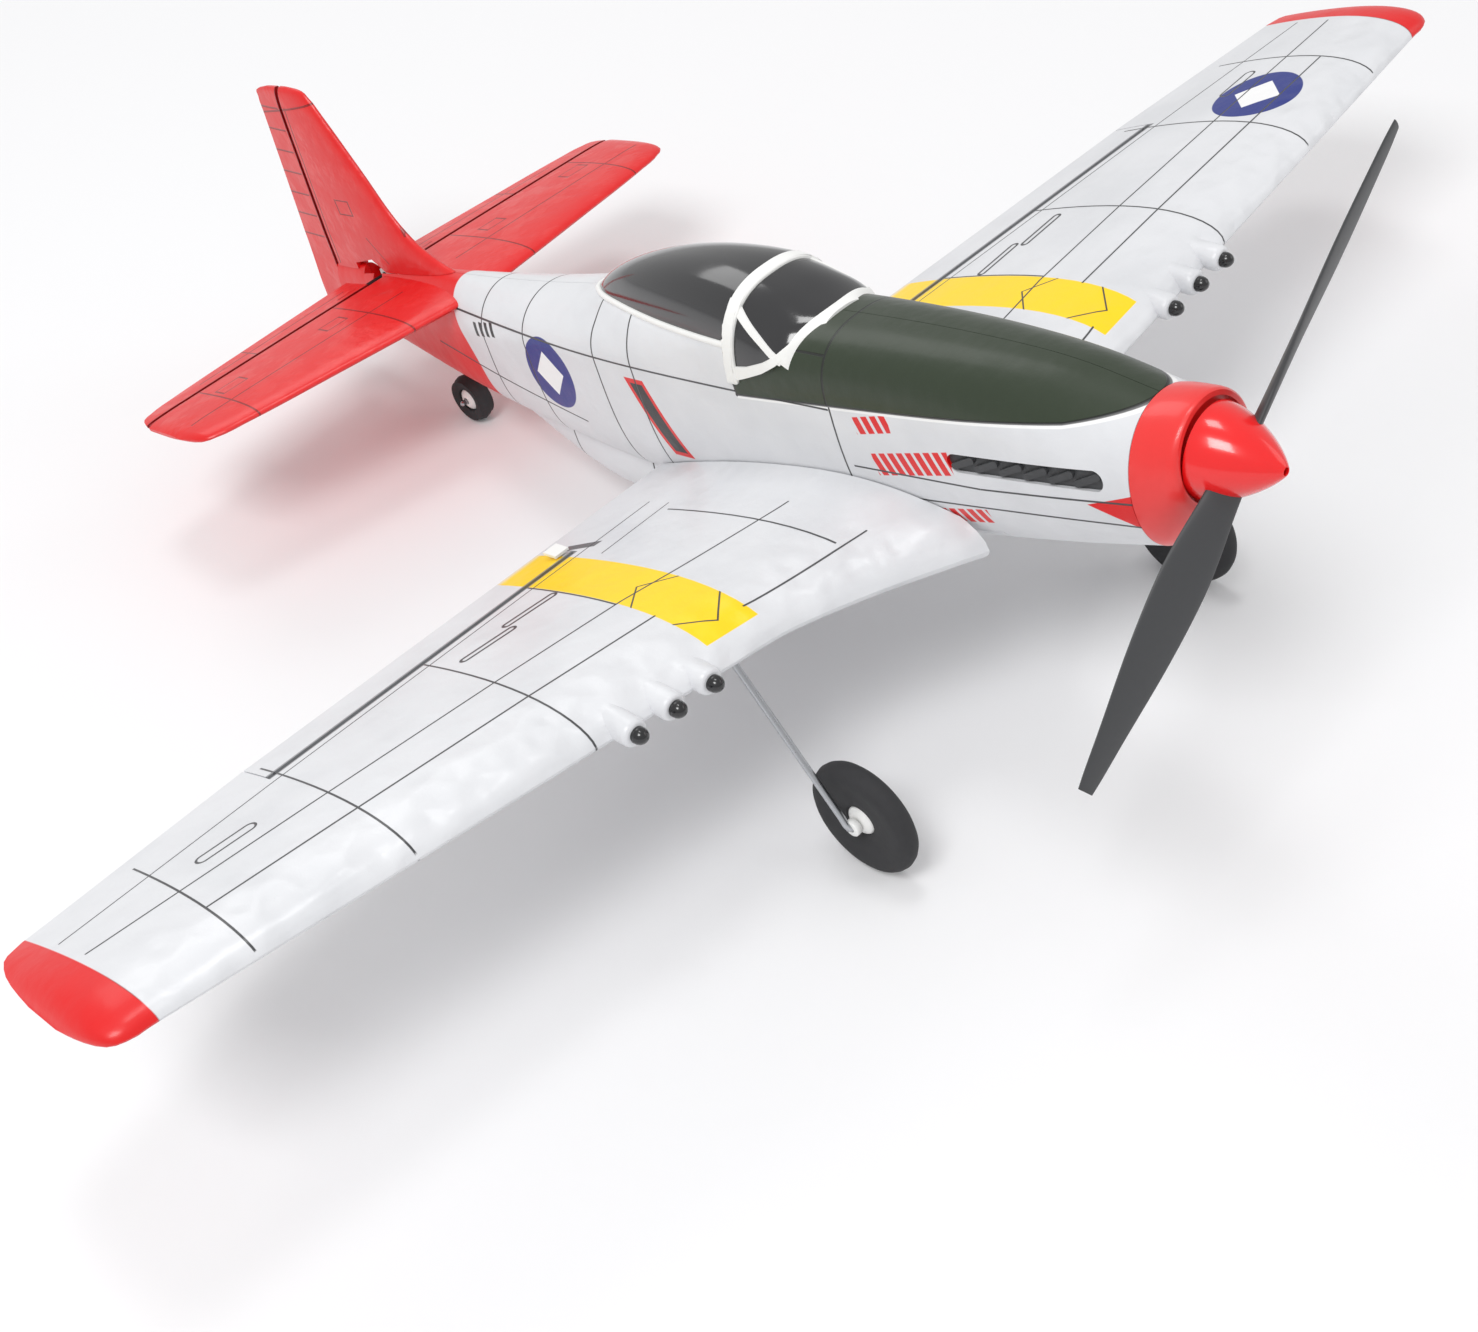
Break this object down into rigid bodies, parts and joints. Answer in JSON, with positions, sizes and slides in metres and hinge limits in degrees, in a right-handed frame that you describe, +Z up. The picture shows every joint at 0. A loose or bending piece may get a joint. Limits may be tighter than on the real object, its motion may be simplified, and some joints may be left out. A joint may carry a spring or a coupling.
{
  "type": "rc foam airplane",
  "caption": "Four-channel foam warbird for radio control: low wing, bubble canopy, two-blade propeller, wire undercarriage, and hinged ailerons, elevator and rudder.",
  "frame": {"origin": "on the ground under the middle of the whole, tail-down on its three wheels", "axes": "+Z up, -Y ahead past the nose, +X along the span towards the pilot's left wing tip"},
  "size_m": [0.4, 0.3114, 0.1308],
  "materials": {
    "silver_foam": "moulded foam, painted satin silver grey",
    "red_foam": "moulded foam, painted satin red",
    "red_plastic": "glossy red moulded plastic",
    "dark_glazing": "smoked glossy thermoformed plastic",
    "white_plastic": "white moulded plastic",
    "black_plastic": "dark grey moulded plastic",
    "tyre_foam": "dense black foam tyre",
    "steel_wire": "bare spring steel wire",
    "brass": "machined brass",
    "carbon": "pultruded carbon rod",
    "circuit_board": "green circuit board",
    "battery_wrap": "blue heat-shrink wrap"
  },
  "bodies": {
    "airframe": {"fuselage_left": "silver_foam", "fuselage_right": "silver_foam", "cowl_ring": "red_foam", "canopy_bubble": "dark_glazing", "windscreen": "dark_glazing", "canopy_arch": "white_plastic", "wing_left": "silver_foam", "wing_right": "silver_foam", "gun_muzzle_left_1": "black_plastic", "gun_muzzle_left_2": "black_plastic", "gun_muzzle_left_3": "black_plastic", "gun_muzzle_right_1": "black_plastic", "gun_muzzle_right_2": "black_plastic", "gun_muzzle_right_3": "black_plastic", "wing_spar": "carbon", "tailplane": "red_foam", "fin": "red_foam", "gearbox_frame": "black_plastic", "motor": "steel_wire", "aileron_servo_left": "black_plastic", "aileron_servo_right": "black_plastic", "elevator_servo": "black_plastic", "rudder_servo": "black_plastic", "battery": "battery_wrap", "receiver_board": "circuit_board", "gear_wire_left": "steel_wire", "gear_wire_right": "steel_wire", "gear_block_left": "white_plastic", "gear_block_right": "white_plastic", "tail_wheel_wire": "steel_wire"},
    "propeller": {"propeller": "black_plastic", "spinner": "red_plastic", "prop_shaft": "steel_wire", "spur_gear": "white_plastic"},
    "motor_pinion": {"motor_pinion": "brass"},
    "wheel_left": {"wheel_left_tyre": "tyre_foam", "wheel_left_hub": "white_plastic"},
    "wheel_right": {"wheel_right_tyre": "tyre_foam", "wheel_right_hub": "white_plastic"},
    "tail_wheel": {"tail_wheel_tyre": "tyre_foam", "tail_wheel_hub": "white_plastic"},
    "aileron_left": {"aileron_left": "silver_foam", "aileron_horn_left": "white_plastic"},
    "aileron_right": {"aileron_right": "silver_foam", "aileron_horn_right": "white_plastic"},
    "aileron_arm_left": {"aileron_arm_left": "white_plastic"},
    "aileron_arm_right": {"aileron_arm_right": "white_plastic"},
    "aileron_pushrod_left": {"aileron_pushrod_left": "steel_wire"},
    "aileron_pushrod_right": {"aileron_pushrod_right": "steel_wire"},
    "elevator": {"elevator_left": "red_foam", "elevator_right": "red_foam", "elevator_joiner": "carbon", "elevator_horn": "white_plastic"},
    "elevator_arm": {"elevator_arm": "white_plastic"},
    "elevator_pushrod": {"elevator_pushrod": "steel_wire"},
    "rudder": {"rudder": "red_foam", "rudder_horn": "white_plastic"},
    "rudder_arm": {"rudder_arm": "white_plastic"},
    "rudder_pushrod": {"rudder_pushrod": "steel_wire"},
    "battery_hatch": {"battery_hatch": "silver_foam"}
  },
  "joints": [
    {"name": "prop_spin", "type": "hinge", "parent": "airframe", "child": "propeller", "pos_m": [0, -0.14011, 0.09066], "axis": [0, 0.9935, -0.1142], "continuous": true},
    {"name": "motor_spin", "type": "hinge", "parent": "airframe", "child": "motor_pinion", "pos_m": [0, -0.14116, 0.08152], "axis": [0, 0.9935, -0.1142], "continuous": true},
    {"name": "wheel_left_spin", "type": "hinge", "parent": "airframe", "child": "wheel_left", "pos_m": [0.054, -0.0959, 0.01338], "axis": [1, 0, 0], "continuous": true},
    {"name": "wheel_right_spin", "type": "hinge", "parent": "airframe", "child": "wheel_right", "pos_m": [-0.054, -0.0959, 0.01338], "axis": [1, 0, 0], "continuous": true},
    {"name": "tail_wheel_spin", "type": "hinge", "parent": "airframe", "child": "tail_wheel", "pos_m": [0, 0.09404, 0.00654], "axis": [1, 0, 0], "continuous": true},
    {"name": "aileron_left_hinge", "type": "hinge", "parent": "airframe", "child": "aileron_left", "pos_m": [0.09, -0.01923, 0.04521], "axis": [0.9862, -0.1181, 0.1165], "range_deg": [-18, 18]},
    {"name": "aileron_right_hinge", "type": "hinge", "parent": "airframe", "child": "aileron_right", "pos_m": [-0.09, -0.01923, 0.04521], "axis": [0.9862, 0.1181, -0.1165], "range_deg": [-18, 18]},
    {"name": "aileron_arm_left_turn", "type": "hinge", "parent": "airframe", "child": "aileron_arm_left", "pos_m": [0.057, -0.03901, 0.03929], "axis": [1, 0, 0], "range_deg": [-43.64, 43.64]},
    {"name": "aileron_pushrod_left_slide", "type": "slide", "parent": "airframe", "child": "aileron_pushrod_left", "axis": [0, 0.9749, -0.2225], "range_m": [-0.00381, 0.00381]},
    {"name": "aileron_arm_right_turn", "type": "hinge", "parent": "airframe", "child": "aileron_arm_right", "pos_m": [-0.057, -0.03901, 0.03929], "axis": [1, 0, 0], "range_deg": [-43.64, 43.64]},
    {"name": "aileron_pushrod_right_slide", "type": "slide", "parent": "airframe", "child": "aileron_pushrod_right", "axis": [0, 0.9749, -0.2225], "range_m": [-0.00381, 0.00381]},
    {"name": "elevator_hinge", "type": "hinge", "parent": "airframe", "child": "elevator", "pos_m": [0, 0.11621, 0.03718], "axis": [1, 0, 0], "range_deg": [-20, 20]},
    {"name": "elevator_arm_turn", "type": "hinge", "parent": "airframe", "child": "elevator_arm", "pos_m": [0, 0.02984, 0.0533], "axis": [1, 0, 0], "range_deg": [-35.57, 35.57]},
    {"name": "elevator_pushrod_slide", "type": "slide", "parent": "airframe", "child": "elevator_pushrod", "axis": [0, 0.9749, -0.2225], "range_m": [-0.0028, 0.0028]},
    {"name": "rudder_hinge", "type": "hinge", "parent": "airframe", "child": "rudder", "pos_m": [0, 0.13992, 0.01792], "axis": [0, 0.0716, 0.9974], "range_deg": [-20, 20]},
    {"name": "rudder_arm_turn", "type": "hinge", "parent": "airframe", "child": "rudder_arm", "pos_m": [0.002, 0.00811, 0.04801], "axis": [1, 0, 0], "range_deg": [-28.01, 28.01]},
    {"name": "rudder_pushrod_slide", "type": "slide", "parent": "airframe", "child": "rudder_pushrod", "axis": [0.0407, 0.9868, -0.157], "range_m": [-0.0022, 0.0022]},
    {"name": "battery_hatch_slide", "type": "slide", "parent": "airframe", "child": "battery_hatch", "axis": [0, -0.2225, -0.9749], "range_m": [0, 0.02]}
  ],
  "couplings": [
    {"joint": "motor_spin", "follows": "prop_spin", "ratio": -3.6},
    {"joint": "aileron_right_hinge", "follows": "aileron_left_hinge", "ratio": -1},
    {"joint": "aileron_arm_left_turn", "follows": "aileron_left_hinge", "ratio": 2.424},
    {"joint": "aileron_pushrod_left_slide", "follows": "aileron_left_hinge", "m_per_rad": 0.01212},
    {"joint": "aileron_arm_right_turn", "follows": "aileron_left_hinge", "ratio": -2.424},
    {"joint": "aileron_pushrod_right_slide", "follows": "aileron_left_hinge", "m_per_rad": -0.01212},
    {"joint": "elevator_arm_turn", "follows": "elevator_hinge", "ratio": 1.7778},
    {"joint": "elevator_pushrod_slide", "follows": "elevator_hinge", "m_per_rad": 0.008},
    {"joint": "rudder_arm_turn", "follows": "rudder_hinge", "ratio": 1.4},
    {"joint": "rudder_pushrod_slide", "follows": "rudder_hinge", "m_per_rad": 0.0063}
  ]
}
